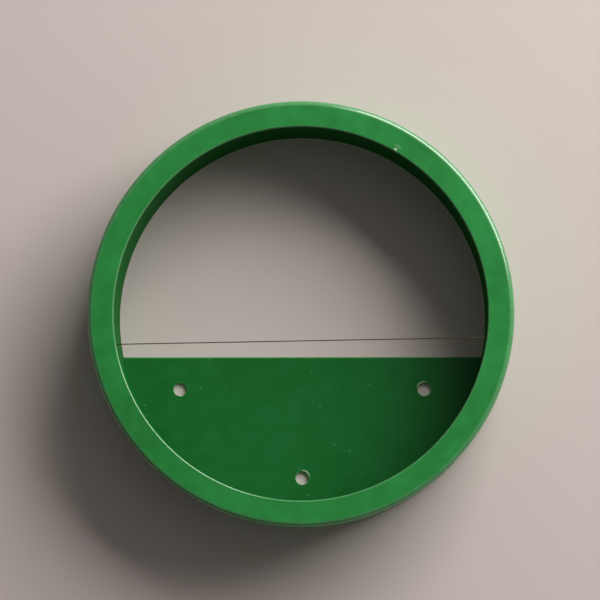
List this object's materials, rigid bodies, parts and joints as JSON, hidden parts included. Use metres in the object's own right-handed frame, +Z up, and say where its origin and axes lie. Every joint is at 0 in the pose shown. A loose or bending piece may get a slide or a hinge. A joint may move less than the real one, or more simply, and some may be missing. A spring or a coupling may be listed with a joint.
{
  "type": "round wall bracket",
  "caption": "Round painted steel wall bracket: a deep hollow ring with a half-moon plate across the lower part of its bore, drilled for screws, and a fine wire above it.",
  "frame": {"origin": "midway between the two upper screw holes, on the wall plane, which is the back face of the mounting plate", "axes": "+Z up, +X to the right as seen from the front, +Y into the wall, so the front face looks along -Y"},
  "size_m": [0.171, 0.04, 0.171],
  "materials": {
    "green_powder_coat": "semi-gloss powder coat on sheet steel",
    "bare_wire": "fine drawn steel wire, dull"
  },
  "bodies": {
    "root": {"front_shell": "green_powder_coat", "inner_sleeve": "green_powder_coat", "mounting_plate": "green_powder_coat", "sleeve_welds": "green_powder_coat", "plate_welds": "green_powder_coat", "cross_wire": "bare_wire"}
  },
  "joints": []
}
